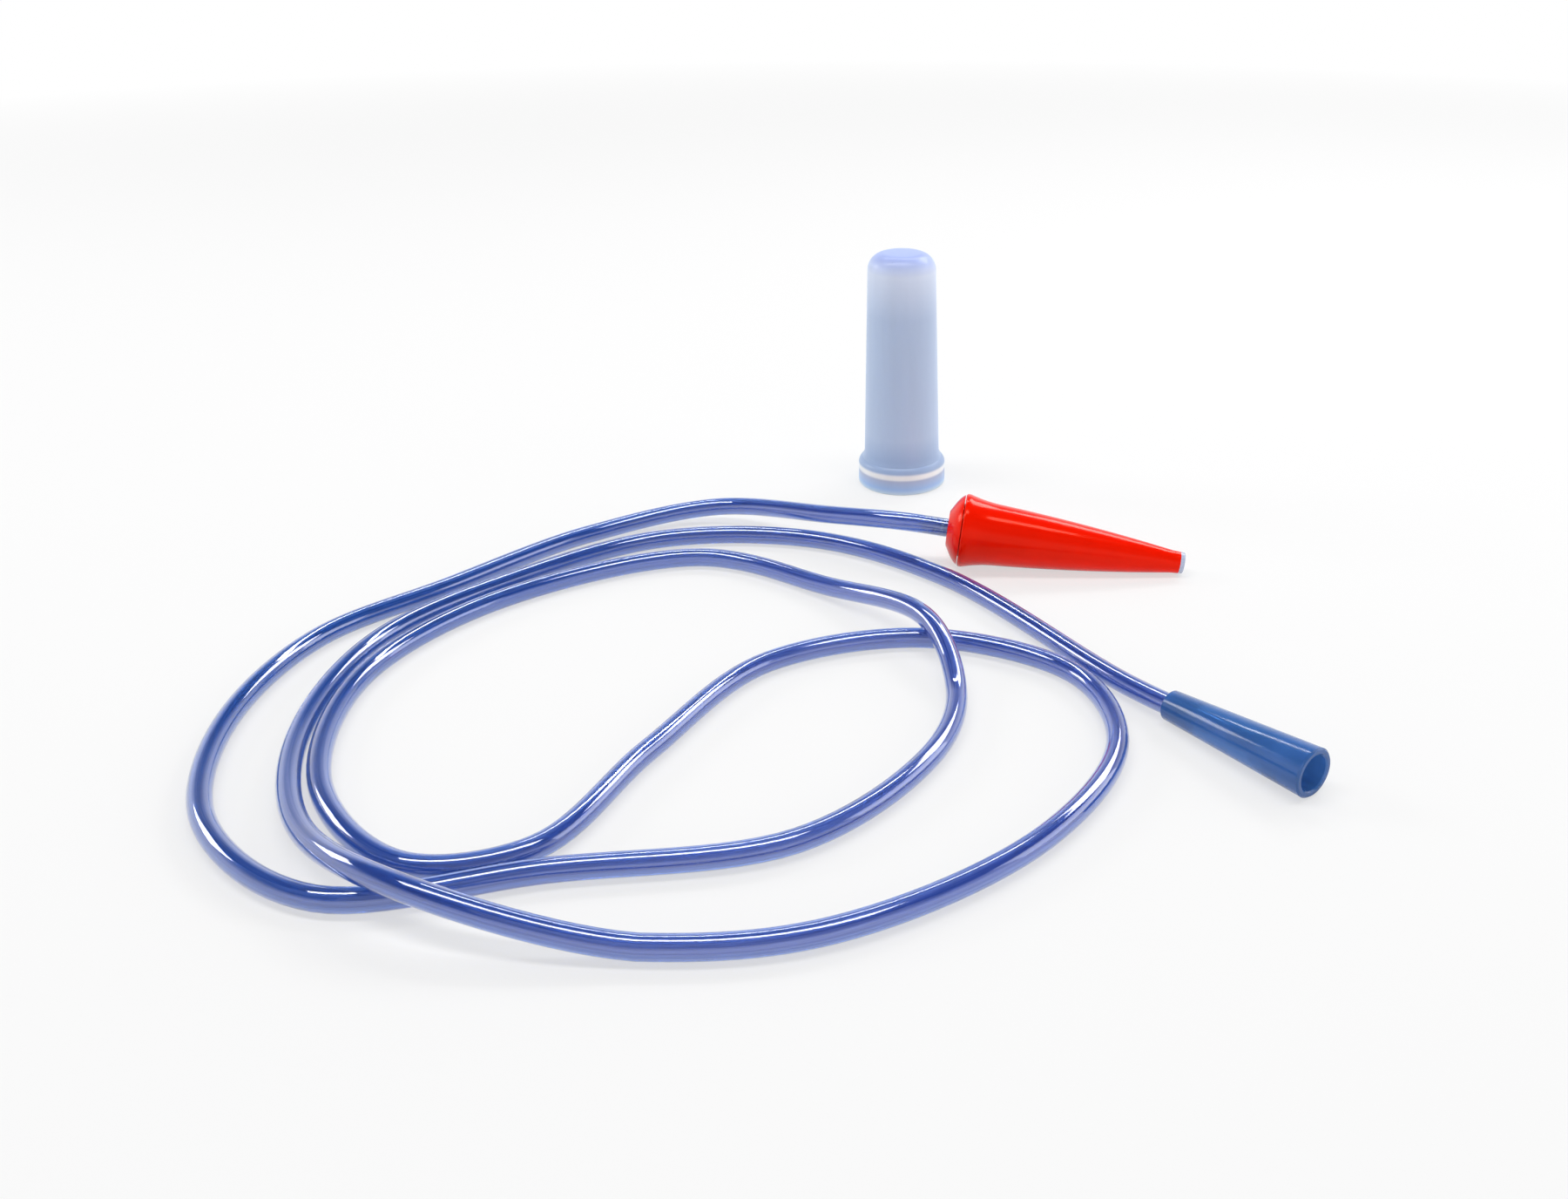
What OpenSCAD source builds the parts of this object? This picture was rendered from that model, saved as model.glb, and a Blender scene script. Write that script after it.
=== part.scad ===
// Saliva ejector tip on a free suction tube, with its protective cap standing beside it.
// Frame: +Z up from the table, origin at the middle of the cap's open foot, +X the way the tip points.

/* [Cap] */
// Height of the cap
cap_h = 70.5; // [66:0.5:85]
// Outer diameter of the collar round the open foot
cap_collar_d = 26.6; // [26:0.2:30]
// Height of the collar, with its shoulder
cap_collar_h = 8.6; // [8:0.1:12]
// Outer diameter of the sleeve just above the collar
cap_sleeve_d = 22.8; // [22.4:0.2:24]
// Outer diameter of the sleeve at the closed end
cap_end_d = 20; // [17:0.2:22]
// Rounding of the closed end
cap_end_round = 5; // [2:0.5:6]
// Wall of the sleeve
cap_wall = 1.6; // [1:0.1:2]
// Thickness of the closed end
cap_end_wall = 3; // [1.5:0.5:5]
// Depth of the socket in the foot that takes the rim of the tip
cap_socket_h = 5.5; // [4:0.5:7]
// Clearance between that socket and the rim of the tip
cap_gap = 0.4; // [0.2:0.1:0.8]

/* [Tip shell] */
// Length from the rim to the end of the mouth
tip_l = 59; // [50:0.1:66]
// Diameter over the rim
rim_d = 19.8; // [19:0.1:20.6]
// Length of the flare behind the rim
flare_l = 8.5; // [6:0.5:11]
// Diameter where the flare meets the long taper
taper_d = 16.6; // [16.4:0.1:17.2]
// How far the long taper swells beyond a straight cone
taper_swell = 0.5; // [0:0.1:1]
// Diameter where the taper meets the nozzle
nozzle_d = 6.1; // [5.8:0.1:7]
// Length of the nozzle
nozzle_l = 3.3; // [2.5:0.1:6]
// Diameter of the mouth
mouth_d = 5.7; // [5.4:0.1:6.4]
// Bore of the mouth
mouth_bore_d = 3.8; // [3:0.1:4.2]
// Wall of the shell
tip_wall = 1.3; // [0.9:0.1:1.4]
// Depth of the rounded bead behind the rim
bead_l = 1.1; // [0.8:0.1:1.6]
// Height of the soft lip that shows at the mouth
lip_h = 1.2; // [0.8:0.1:2]
// Length of the lip's sleeve inside the nozzle
lip_sleeve_l = 4; // [2:0.5:6]

/* [Hub] */
// Length of the domed hub behind the bead
hub_dome_l = 3.6; // [3.2:0.1:5]
// Diameter of the hub's end face
hub_end_d = 9.4; // [8.6:0.2:11]
// Seam between the hub and the shell
seam = 0.2; // [0.1:0.05:0.3]
// Diameter of the spigot that the shell pushes onto
spigot_d = 14.3; // [13.6:0.1:14.4]
// Length of the spigot from the hub's flange
spigot_l = 7.5; // [7:0.5:9]
// Radial clearance of the spigot in the shell
spigot_gap = 0.05; // [0.03:0.01:0.1]
// Chamber inside the hub
chamber_d = 10; // [9.6:0.1:10.4]
// Thickness of the hub's rear wall
rear_wall = 2.5; // [2:0.1:2.8]
// Cord of the ring seal on the spigot
seal_cord_d = 1.2; // [1:0.1:1.3]
// How far the shell travels when it is pulled off
pull_travel = 8.5; // [8.5:0.5:10]

/* [Backflow valve] */
// Thickness of the valve seat
seat_t = 1.5; // [1:0.1:1.8]
// Opening of the valve seat
seat_hole_d = 4.4; // [3:0.2:6]
// Diameter of the soft valve disc
disc_d = 8; // [7:0.2:8.8]
// Thickness of the valve disc
disc_t = 0.8; // [0.6:0.1:1]
// Travel of the valve disc
disc_travel = 1.5; // [1:0.1:1.6]
// Air left at each end of that travel
disc_gap = 0.2; // [0.1:0.05:0.3]
// Width of the retainer's stop ribs
rib_w = 1; // [0.6:0.1:1.4]

/* [Strainer] */
// Thickness of the strainer
strainer_t = 1; // [0.6:0.1:1.2]
// Holes of the strainer
strainer_hole_d = 1.2; // [0.8:0.1:1.4]
// Distance between the rings of holes
strainer_pitch = 2; // [1.8:0.1:2.1]

/* [Hose barb] */
// Length of the nipple inside the tube
nipple_l = 8; // [6:0.5:12]
// Bore of the barb
barb_bore_d = 2; // [1.6:0.1:2.4]
// Diameter of the flange that swivels in the hub
barb_flange_d = 8; // [7:0.2:9]
// Thickness of that flange
barb_flange_t = 1.3; // [1:0.1:1.4]
// Thickness of the plate that holds the flange
retainer_t = 1.2; // [0.8:0.1:1.3]
// Clearance of the swivel, along it and across it
swivel_gap = 0.05; // [0.03:0.01:0.1]

/* [Tube] */
// Outer diameter of the tube
tube_d = 5; // [4.6:0.1:5.2]
// Bore of the tube
tube_bore_d = 3; // [2.6:0.1:3.2]
// Clearance round the tube in the hub and in the connector
tube_gap = 0.3; // [0.1:0.05:0.4]
// How far the tube's end stands inside the hub
tube_in_hub = 1.3; // [1:0.1:1.5]

/* [End connector] */
// Length of the connector
conn_l = 38; // [30:1:44]
// Diameter of its neck
conn_neck_d = 7; // [6.8:0.1:8]
// Diameter of its mouth
conn_mouth_d = 11; // [10.6:0.1:12]
// Bore of the mouth that pushes onto the suction line
conn_bore_d = 8; // [7:0.1:8.4]
// Length of that bore
conn_bore_l = 8; // [6:0.5:12]
// Depth of the socket for the tube
conn_socket_l = 8; // [6:0.5:10]
// Bore between the two sockets
conn_way_d = 3; // [2:0.1:3.2]

/* [Where the pieces lie] */
// Middle of the rim of the tip, to the right of the cap
tip_x = 23.6; // [23:0.2:25]
// Middle of the rim of the tip, in front of the cap
tip_y = -58.5; // [-59.5:0.5:-57.5]
// Middle of the connector's neck, to the right of the cap
conn_x = 74; // [73:0.5:75]
// Middle of the connector's neck, in front of the cap
conn_y = -133.5; // [-134.5:0.5:-132.5]
// Turn of the connector on the table
conn_turn = -45.5; // [-48:0.5:-43]

/* [Hidden] */

fine = 96;                      // facets of a turned piece
snug = 0.02;                    // clearance of a pressed-in piece
over = 1;                       // how far a cut runs past what it cuts
red = [0.95, 0.12, 0.03];
milky = [0.72, 0.79, 0.93, 0.6];
clear_soft = [0.8, 0.85, 0.97, 0.6];
tube_blue = [0.3, 0.4, 0.72, 0.7];
connector_blue = [0.22, 0.38, 0.72, 0.7];
steel_white = [0.9, 0.92, 0.95];
seal_black = [0.12, 0.12, 0.13];

// Radii
rim_r = rim_d / 2;
mouth_r = mouth_d / 2;
spigot_r = spigot_d / 2;
socket_r = spigot_r + spigot_gap;
chamber_r = chamber_d / 2;
tube_r = tube_d / 2;
tube_way_r = tube_r + tube_gap;         // the tube's way through the hub and the connector's neck
journal_r = tube_way_r - swivel_gap;
cap_socket_r = rim_r + cap_gap;

// Stations along the tip, from the middle of its rim towards its mouth
hub_front = -bead_l - seam;             // front of the hub's flange
hub_back = hub_front - hub_dome_l;
chamber_back = hub_back + rear_wall;
spigot_end = hub_front + spigot_l;
barb_front = chamber_back + swivel_gap + barb_flange_t;
retainer_back = barb_front + swivel_gap;
retainer_front = retainer_back + retainer_t;
seat_front = spigot_end - disc_gap;
seat_back = seat_front - seat_t;
disc_back = seat_back - disc_gap - disc_t;
rib_top = disc_back - disc_travel - disc_gap;
tube_start = hub_back + tube_in_hub;
seal_at = (hub_front + spigot_end) / 2;
strainer_back = spigot_end + seam;
ledge_at = strainer_back + strainer_t;
ledge_step = 0.6;                       // how far the ledge behind the strainer stands in
bead_in = 0.35;                         // how far the bead rounds in towards the seam
nozzle_at = tip_l - nozzle_l;
shell_end = tip_l - lip_h;
lip_round = 0.4;                        // rounding of the lip's outer edge

// The tip lies on its rim and on its taper, so its nose points down a little
tip_tilt = min([for (s = [flare_l:0.5:tip_l]) atan((rim_r - shell_r(s)) / s)]);
tip_z = rim_r * cos(tip_tilt);
tip_way = [cos(tip_tilt), 0, -sin(tip_tilt)];
tip_at = [tip_x, tip_y, tip_z];

// The connector lies on its neck and on its mouth, so its mouth points up a little
conn_edge = 0.4;                        // bevel round the mouth
conn_lead_in = 0.3;                     // bevel inside the mouth, before its bore
conn_tilt = atan((conn_mouth_d - conn_neck_d) / 2 / (conn_l - conn_edge));
conn_at = [conn_x, conn_y, conn_neck_d / 2 * cos(conn_tilt)];
conn_way = [cos(conn_turn) * cos(conn_tilt), sin(conn_turn) * cos(conn_tilt), sin(conn_tilt)];

// The tube's route over the table. It leaves the hub, lies in loose turns and enters the connector.
tube_lead = 16;                         // straight stretch out of the hub, from the rim
conn_lead = 14;                         // straight stretch before the connector
LAY = [
    [-14, -51, 9.5], [-50, -37.5, 4.5], [-81, -54.5, 2.5], [-109.5, -93, 2.5],
    [-129, -121.5, 2.5], [-131, -160, 2.5], [-115, -196.5, 2.5], [-83, -215.5, 2.5],
    [-45, -203.5, 2.5], [0, -189.5, 2.5], [22.5, -158.5, 2.5], [26.5, -132, 2.5],
    [17, -106, 8], [-11, -82, 3], [-48, -67.5, 2.5], [-91.5, -96, 2.5],
    [-110, -137, 2.5], [-99, -181.5, 2.5], [-71, -204.5, 2.5], [-49, -197, 2.5],
    [-36.5, -162, 2.5], [-18.5, -122, 2.5], [17, -106.5, 2.5], [52, -119, 2.5],
    [62, -147.5, 2.5], [47, -183.5, 2.5], [11, -214, 2.5], [-22, -222, 2.5],
    [-66, -217.5, 8.5], [-95, -197.5, 4.5], [-113, -162, 2.5], [-114, -121, 2.5],
    [-95, -88.5, 2.5], [-61.5, -57, 2.5], [-19.5, -52.5, 2.5], [18.5, -72, 2.5]
];
ROUTE = concat([tip_at + tube_start * tip_way, tip_at - tube_lead * tip_way], LAY,
               [conn_at - conn_lead * conn_way, conn_at + conn_socket_l * conn_way]);
tube_sides = 10;
steps = 2;                              // rings of the tube from one route point to the next

// ---- curves ----

// Points of an arc in a profile, from angle a to angle b
function arc(middle, r, a, b, n = 8) =
    [for (i = [0:n]) middle + r * [cos(a + (b - a) * i / n), sin(a + (b - a) * i / n)]];

// Radius of the shell's outside at station s
function taper_r(s) =
    let (t = (s - flare_l) / (nozzle_at - flare_l))
    taper_d / 2 + (nozzle_d - taper_d) / 2 * t + taper_swell * 4 * t * (1 - t);
function shell_r(s) =
    s <= flare_l ? taper_r(s) + (rim_r - taper_r(0)) * pow(1 - s / flare_l, 2)
    : s <= nozzle_at ? taper_r(s)
    : nozzle_d / 2 + (mouth_r - nozzle_d / 2) * (s - nozzle_at) / nozzle_l;

// Radius of the shell's inside ahead of the strainer
lip_sleeve_r = (mouth_r + mouth_bore_d / 2) / 2;
function hollow_r(s) = max(lip_sleeve_r, min(socket_r - ledge_step, shell_r(s) - tip_wall));

// A smooth curve through four points of the route, t from 0 to 1 between the middle two
function span(a, b, c, d, t) =
    let (
        u = sqrt(norm(b - a)), v = sqrt(norm(c - b)), w = sqrt(norm(d - c)),
        out = (c - b) - (c - a) * v / (u + v) + (b - a) * v / u,
        in = (c - b) - (d - b) * v / (v + w) + (d - c) * v / w,
        h = t * t * (3 - 2 * t)
    )
    b * (1 - h) + c * h + out * t * pow(1 - t, 2) - in * t * t * (1 - t);

// The route with its ends carried on, and the centre line of the tube, which never sinks into the table
last = len(ROUTE) - 1;
LONG = concat([2 * ROUTE[0] - ROUTE[1]], ROUTE, [2 * ROUTE[last] - ROUTE[last - 1]]);
function on_table(p) = [p[0], p[1], max(p[2], tube_r)];
LINE = concat(
    [for (i = [0:last - 1], k = [0:steps - 1])
        on_table(span(LONG[i], LONG[i + 1], LONG[i + 2], LONG[i + 3], k / steps))],
    [ROUTE[last]]);

// One ring of the tube round its centre line, facing along it
function unit(v) = v / norm(v);
function ring(i) =
    let (
        n = len(LINE) - 1,
        way = i == 0 ? -tip_way : i == n ? conn_way : unit(LINE[i + 1] - LINE[i - 1]),
        side = unit(cross([0, 0, 1], way)),
        up = cross(way, side)
    )
    [for (k = [0:tube_sides - 1]) let (turn = 360 * (k + 0.5) / tube_sides)
        LINE[i] + tube_r * (side * cos(turn) + up * sin(turn))];

// ---- places ----

// Puts a piece that is turned about Z, mouth up, where the tip lies
module at_tip() {
    translate(tip_at) rotate([0, 90 + tip_tilt, 0]) children();
}

// Puts a piece that is turned about Z, mouth up, where the connector lies
module at_connector() {
    translate(conn_at) rotate([0, 90 - conn_tilt, conn_turn]) children();
}

// ---- pieces ----

// Protective cap: a closed sleeve with a collar round its open foot
module cap() {
    foot_round = 0.8;
    shoulder_round = 2.4;
    shoulder_slope = 1.4;
    inner_round = 3.5;
    socket_step = 0.4;
    collar_r = cap_collar_d / 2;
    sleeve_r = cap_sleeve_d / 2;
    end_r = cap_end_d / 2;
    shoulder_z = cap_collar_h - shoulder_round;
    color(milky) rotate_extrude($fn = fine) polygon(concat(
        [[cap_socket_r, 0]],
        arc([collar_r - foot_round, foot_round], foot_round, -90, 0),
        arc([collar_r - shoulder_round, shoulder_z], shoulder_round, 0, 60),
        [[sleeve_r, cap_collar_h + shoulder_slope]],
        arc([end_r - cap_end_round, cap_h - cap_end_round], cap_end_round, 0, 90, 12),
        [[0, cap_h], [0, cap_h - cap_end_wall]],
        arc([end_r - cap_wall - inner_round, cap_h - cap_end_wall - inner_round], inner_round, 90, 0),
        [[min(sleeve_r - cap_wall, cap_socket_r - socket_step), cap_socket_h], [cap_socket_r, cap_socket_h]]
    ));
}

// Hollow shell: rim bead, flare, long taper and nozzle outside; socket, ledge and bore inside
module tip_shell() {
    cuts = 26;
    ahead = [for (i = [0:cuts]) shell_end * i / cuts];
    inside = [for (i = [0:cuts]) shell_end + (ledge_at - shell_end) * i / cuts];
    color(red) at_tip() rotate_extrude($fn = fine) polygon(concat(
        [[socket_r, -bead_l], [rim_r - bead_in, -bead_l], [rim_r - bead_in / 4, -bead_l / 2]],
        [for (s = ahead) [shell_r(s), s]],
        [for (s = inside) [hollow_r(s), s]],
        [[socket_r, ledge_at]]
    ));
}

// Soft clear lip at the mouth, on a sleeve inside the nozzle
module mouth_lip() {
    bore_r = mouth_bore_d / 2;
    sleeve_r = lip_sleeve_r - snug;
    color(clear_soft) at_tip() rotate_extrude($fn = fine) polygon(concat(
        [[bore_r, shell_end - lip_sleeve_l], [sleeve_r, shell_end - lip_sleeve_l],
         [sleeve_r, shell_end], [shell_r(shell_end), shell_end]],
        arc([mouth_r - lip_round, tip_l - lip_round], lip_round, 0, 90),
        [[bore_r, tip_l]]
    ));
}

// Strainer plate against the ledge in the shell, with rings of holes
module tip_strainer() {
    rings = floor((socket_r - strainer_hole_d) / strainer_pitch);
    color(steel_white) at_tip() translate([0, 0, strainer_back]) difference() {
        cylinder(h = strainer_t, r = socket_r - snug, $fn = fine);
        for (n = [0:rings], k = [0:max(0, 6 * n - 1)])
            rotate(60 * k / max(n, 1)) translate([n * strainer_pitch, 0, -over])
                cylinder(h = strainer_t + 2 * over, d = strainer_hole_d, $fn = 24);
    }
}

// Domed hub: rear wall with the tube's way, flange under the bead, spigot with the seal's groove
module tip_hub() {
    swell = 0.35;
    front_r = rim_r - bead_in;
    groove_w = seal_cord_d + 0.1;
    groove_r = socket_r - snug - seal_cord_d - snug;
    color(red) at_tip() rotate_extrude($fn = fine) polygon(concat(
        [[tube_way_r, hub_back]],
        [for (i = [0:10]) let (u = 1 - i / 10, out = swell * 4 * u * (1 - u))
            [front_r + (hub_end_d / 2 - front_r) * u + out, hub_front - hub_dome_l * u - out * (1 - u)]],
        [[spigot_r, hub_front], [spigot_r, seal_at - groove_w / 2], [groove_r, seal_at - groove_w / 2],
         [groove_r, seal_at + groove_w / 2], [spigot_r, seal_at + groove_w / 2],
         [spigot_r, spigot_end], [chamber_r, spigot_end], [chamber_r, chamber_back],
         [tube_way_r, chamber_back]]
    ));
}

// Ring seal in the spigot's groove
module hub_seal() {
    color(seal_black) at_tip() translate([0, 0, seal_at]) rotate_extrude($fn = fine)
        translate([socket_r - snug - seal_cord_d / 2, 0]) circle(d = seal_cord_d, $fn = 32);
}

// Valve seat pressed into the end of the spigot
module valve_seat() {
    color(steel_white) at_tip() translate([0, 0, seat_back]) difference() {
        cylinder(h = seat_t, r = chamber_r - snug, $fn = fine);
        translate([0, 0, -over]) cylinder(h = seat_t + 2 * over, d = seat_hole_d, $fn = fine);
    }
}

// Soft disc that closes the seat when the flow turns back
module valve_disc() {
    color(clear_soft) at_tip() translate([0, 0, disc_back]) cylinder(h = disc_t, d = disc_d, $fn = fine);
}

// Plate that holds the barb in the hub, with four ribs that stop the disc
module barb_retainer() {
    way_r = barb_bore_d / 2 + 0.5;
    color(steel_white) at_tip() translate([0, 0, retainer_back]) difference() {
        intersection() {
            union() {
                cylinder(h = retainer_t, r = chamber_r, $fn = fine);
                for (k = [0:3]) rotate(90 * k)
                    translate([barb_bore_d, -rib_w / 2, 0]) cube([chamber_r, rib_w, rib_top - retainer_back]);
            }
            cylinder(h = spigot_l, r = chamber_r - snug, $fn = fine);
        }
        translate([0, 0, -over]) cylinder(h = retainer_t + 2 * over, r = way_r, $fn = fine);
    }
}

// Barb: flange and journal that swivel in the hub, and a ridged nipple inside the tube
module hose_barb() {
    nipple_r = tube_bore_d / 2;
    nipple_end = tube_start - nipple_l;
    ridge = 0.2;
    ridge_l = 1.6;
    ridge_pitch = 2;
    color(steel_white) at_tip() rotate_extrude($fn = fine) polygon(concat(
        [[barb_bore_d / 2, nipple_end]],
        [for (n = [0:2]) let (s = nipple_end + n * ridge_pitch)
            each [[nipple_r, s], [nipple_r + ridge, s + ridge_l], [nipple_r, s + ridge_l]]],
        [[nipple_r, tube_start], [journal_r, tube_start], [journal_r, chamber_back + swivel_gap],
         [barb_flange_d / 2, chamber_back + swivel_gap], [barb_flange_d / 2, barb_front],
         [barb_bore_d / 2, barb_front]]
    ));
}

// Flexible tube, swept along its centre line
module tube() {
    rings = [for (i = [0:len(LINE) - 1]) ring(i)];
    n = tube_sides;
    color(tube_blue) polyhedron(
        points = [for (r = rings) each r],
        faces = concat(
            [[for (k = [0:n - 1]) k]],
            [for (i = [0:len(rings) - 2], k = [0:n - 1])
                [i * n + k, (i + 1) * n + k, (i + 1) * n + (k + 1) % n, i * n + (k + 1) % n]],
            [[for (k = [0:n - 1]) len(rings) * n - 1 - k]]
        ));
}

// Flared connector: socket for the tube in its neck, bore for the suction line in its mouth
module end_connector() {
    edge = conn_edge;
    funnel_l = 8;
    bore_start = conn_l - conn_lead_in;
    bore_end = bore_start - conn_bore_l;
    color(connector_blue) at_connector() rotate_extrude($fn = fine) polygon([
        [tube_way_r, 0], [conn_neck_d / 2, 0],
        [conn_mouth_d / 2, conn_l - edge], [conn_mouth_d / 2 - edge, conn_l],
        [conn_bore_d / 2 + conn_lead_in, conn_l], [conn_bore_d / 2, bore_start],
        [conn_bore_d / 2, bore_end], [conn_way_d / 2, bore_end - funnel_l],
        [conn_way_d / 2, conn_socket_l], [tube_way_r, conn_socket_l]
    ]);
}

cap();
tip_shell();
mouth_lip();
tip_strainer();
tip_hub();
hub_seal();
valve_seat();
valve_disc();
barb_retainer();
hose_barb();
tube();
end_connector();
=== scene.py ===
"""Saliva ejector tip on a free clear tube, with its cap standing beside it."""

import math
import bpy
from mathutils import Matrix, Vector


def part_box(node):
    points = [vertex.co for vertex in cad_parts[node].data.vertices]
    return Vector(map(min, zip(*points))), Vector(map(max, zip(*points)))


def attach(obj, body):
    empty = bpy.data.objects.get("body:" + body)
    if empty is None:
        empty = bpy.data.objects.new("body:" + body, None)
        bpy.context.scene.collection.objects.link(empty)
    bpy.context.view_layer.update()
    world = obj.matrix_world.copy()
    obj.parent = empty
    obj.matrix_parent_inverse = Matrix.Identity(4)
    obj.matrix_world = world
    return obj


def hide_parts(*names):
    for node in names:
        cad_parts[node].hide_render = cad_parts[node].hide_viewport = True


bl_info = {
    "name": "Suction tip set",
    "version": (1, 0, 0),
    "blender": (4, 5, 0),
    "location": "View3D > Sidebar > Suction tip",
    "description": "Makes a suction tip, its tube, connector and cap round the packed model",
    "category": "Object",
}

import bmesh
import bpy
from bpy.props import FloatProperty, FloatVectorProperty, PointerProperty
from mathutils import Matrix, Vector

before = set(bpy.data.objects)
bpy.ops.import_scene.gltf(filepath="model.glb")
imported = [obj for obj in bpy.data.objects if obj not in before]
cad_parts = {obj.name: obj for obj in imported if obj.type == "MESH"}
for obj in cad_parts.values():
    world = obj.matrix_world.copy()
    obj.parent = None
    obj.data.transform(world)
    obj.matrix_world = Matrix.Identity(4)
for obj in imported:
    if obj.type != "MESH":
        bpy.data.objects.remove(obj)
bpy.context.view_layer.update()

MM = 0.001

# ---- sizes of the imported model, in millimetres ----

RIM_R = 9.9
RIM_ROUND = 0.55
FLARE_L = 8.5
TAPER_R = 8.3
TAPER_SWELL = 0.5
NOZZLE_R = 3.05
MOUTH_R = 2.85
MOUTH_BORE_R = 1.9
TIP_L = 59.0
NOZZLE_L = 3.3
NOZZLE_AT = TIP_L - NOZZLE_L
LIP_H = 1.2
LIP_SLEEVE_L = 4.0
LIP_ROUND = 0.4
LIP_BORE_ROUND = 0.15
SHELL_END = TIP_L - LIP_H
SHELL_WALL = 1.3
SHELL_STEPS = 60
BEAD_L = 1.1
BEAD_IN = 0.35
SPIGOT_R = 7.15
SOCKET_R = 7.2
LEDGE_AT = 7.4
LEDGE_STEP = 0.6
SPIGOT_END = 6.2
CHAMBER_R = 5.0
HUB_FRONT = -1.3
HUB_BACK = -4.9
CHAMBER_BACK = -2.4
HUB_END_R = 4.7
DOME_SWELL = 0.35
DOME_STEPS = 16
SEAL_AT = 2.45
SEAL_CORD = 1.2
FIT = 0.02
TUBE_START = -3.6
TUBE_R = 2.5
TUBE_WAY_R = 2.8
CONN_L = 38.0
CONN_NECK_R = 3.5
CONN_MOUTH_R = 5.5
CONN_BORE_R = 4.0
CONN_BORE_L = 8.0
CONN_LEAD_IN = 0.3
CONN_EDGE = 0.4
CONN_FUNNEL_L = 8.0
CONN_WAY_R = 1.5
CONN_SOCKET_L = 8.0
CONN_ROUND = 0.12
FOOT_ROUND = 0.8
COLLAR_ROUND = 2.4
COLLAR_SLOPE = 1.4
SLEEVE_R = 11.4
END_R = 10.0
END_ROUND = 5.0
END_WALL = 3.0
CAP_WALL = 1.6
HOLLOW_ROUND = 3.5
HOLLOW_R = 9.8
CAP_SOCKET_R = 10.3
CAP_SOCKET_H = 5.5

# ---- places: the tip lies on its rim and taper, the connector on its neck and mouth ----

TIP_TILT = math.radians(6.608741)
TIP_AT = Vector((23.6, -58.5, RIM_R * math.cos(TIP_TILT)))
TIP_WAY = Vector((math.cos(TIP_TILT), 0.0, -math.sin(TIP_TILT)))
CONN_TILT = math.atan((CONN_MOUTH_R - CONN_NECK_R) / (CONN_L - CONN_EDGE))
CONN_TURN = math.radians(-45.5)
CONN_AT = Vector((74.0, -133.5, CONN_NECK_R * math.cos(CONN_TILT)))
CONN_WAY = Vector((
    math.cos(CONN_TURN) * math.cos(CONN_TILT),
    math.sin(CONN_TURN) * math.cos(CONN_TILT),
    math.sin(CONN_TILT),
))

# The tube's way over the table, from the hub to the connector
TUBE_LAY = [
    (-14, -51, 9.5), (-50, -37.5, 4.5), (-81, -54.5, 2.5), (-109.5, -93, 2.5),
    (-129, -121.5, 2.5), (-131, -160, 2.5), (-115, -196.5, 2.5), (-83, -215.5, 2.5),
    (-45, -203.5, 2.5), (0, -189.5, 2.5), (22.5, -158.5, 2.5), (26.5, -132, 2.5),
    (17, -106, 8), (-11, -82, 3), (-48, -67.5, 2.5), (-91.5, -96, 2.5),
    (-110, -137, 2.5), (-99, -181.5, 2.5), (-71, -204.5, 2.5), (-49, -197, 2.5),
    (-36.5, -162, 2.5), (-18.5, -122, 2.5), (17, -106.5, 2.5), (52, -119, 2.5),
    (62, -147.5, 2.5), (47, -183.5, 2.5), (11, -214, 2.5), (-22, -222, 2.5),
    (-66, -217.5, 8.5), (-95, -197.5, 4.5), (-113, -162, 2.5), (-114, -121, 2.5),
    (-95, -88.5, 2.5), (-61.5, -57, 2.5), (-19.5, -52.5, 2.5), (18.5, -72, 2.5),
]
TUBE_LEAD = 16.0
CONN_LEAD = 14.0
TUBE_STEPS = 12


def place_of(at, way):
    """Matrix that puts a piece turned about Z at `at`, with its axis along `way`."""
    turn = Vector((0, 0, 1)).rotation_difference(way).to_matrix().to_4x4()
    return Matrix.Translation(at * MM) @ turn


TIP_PLACE = place_of(TIP_AT, TIP_WAY)
CONN_PLACE = place_of(CONN_AT, CONN_WAY)

# ---- profiles ----


def arc(middle, radius, start, end, steps=8):
    """Points of an arc in a profile, angles in degrees."""
    points = []
    for i in range(steps + 1):
        angle = math.radians(start + (end - start) * i / steps)
        points.append((middle[0] + radius * math.cos(angle), middle[1] + radius * math.sin(angle)))
    return points


def taper_radius(s):
    """Radius of the long taper at station s, slightly swelled at its middle."""
    t = (s - FLARE_L) / (NOZZLE_AT - FLARE_L)
    return TAPER_R + (NOZZLE_R - TAPER_R) * t + TAPER_SWELL * 4 * t * (1 - t)


def shell_radius(s):
    """Radius of the shell's outside at station s from the rim."""
    if s <= FLARE_L:
        return taper_radius(s) + (RIM_R - taper_radius(0)) * (1 - s / FLARE_L) ** 2
    if s <= NOZZLE_AT:
        return taper_radius(s)
    return NOZZLE_R + (MOUTH_R - NOZZLE_R) * (s - NOZZLE_AT) / NOZZLE_L


LIP_SLEEVE_R = (MOUTH_R + MOUTH_BORE_R) / 2


def hollow_radius(s):
    """Radius of the shell's inside ahead of the strainer."""
    return max(LIP_SLEEVE_R, min(SOCKET_R - LEDGE_STEP, shell_radius(s) - SHELL_WALL))


# ---- meshes ----


def finished(name, bm, finish, body, replaced=(), sharp=32.0):
    """Turns a bmesh into a smooth piece that rides on a body and stands for its CAD nodes."""
    mesh = bpy.data.meshes.new(name)
    bm.to_mesh(mesh)
    bm.free()
    mesh.shade_smooth()
    mesh.set_sharp_from_angle(angle=math.radians(sharp))
    mesh.materials.append(finish)
    piece = bpy.data.objects.new(name, mesh)
    bpy.context.scene.collection.objects.link(piece)
    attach(piece, body)
    if replaced:
        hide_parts(*replaced)
    return piece


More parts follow.
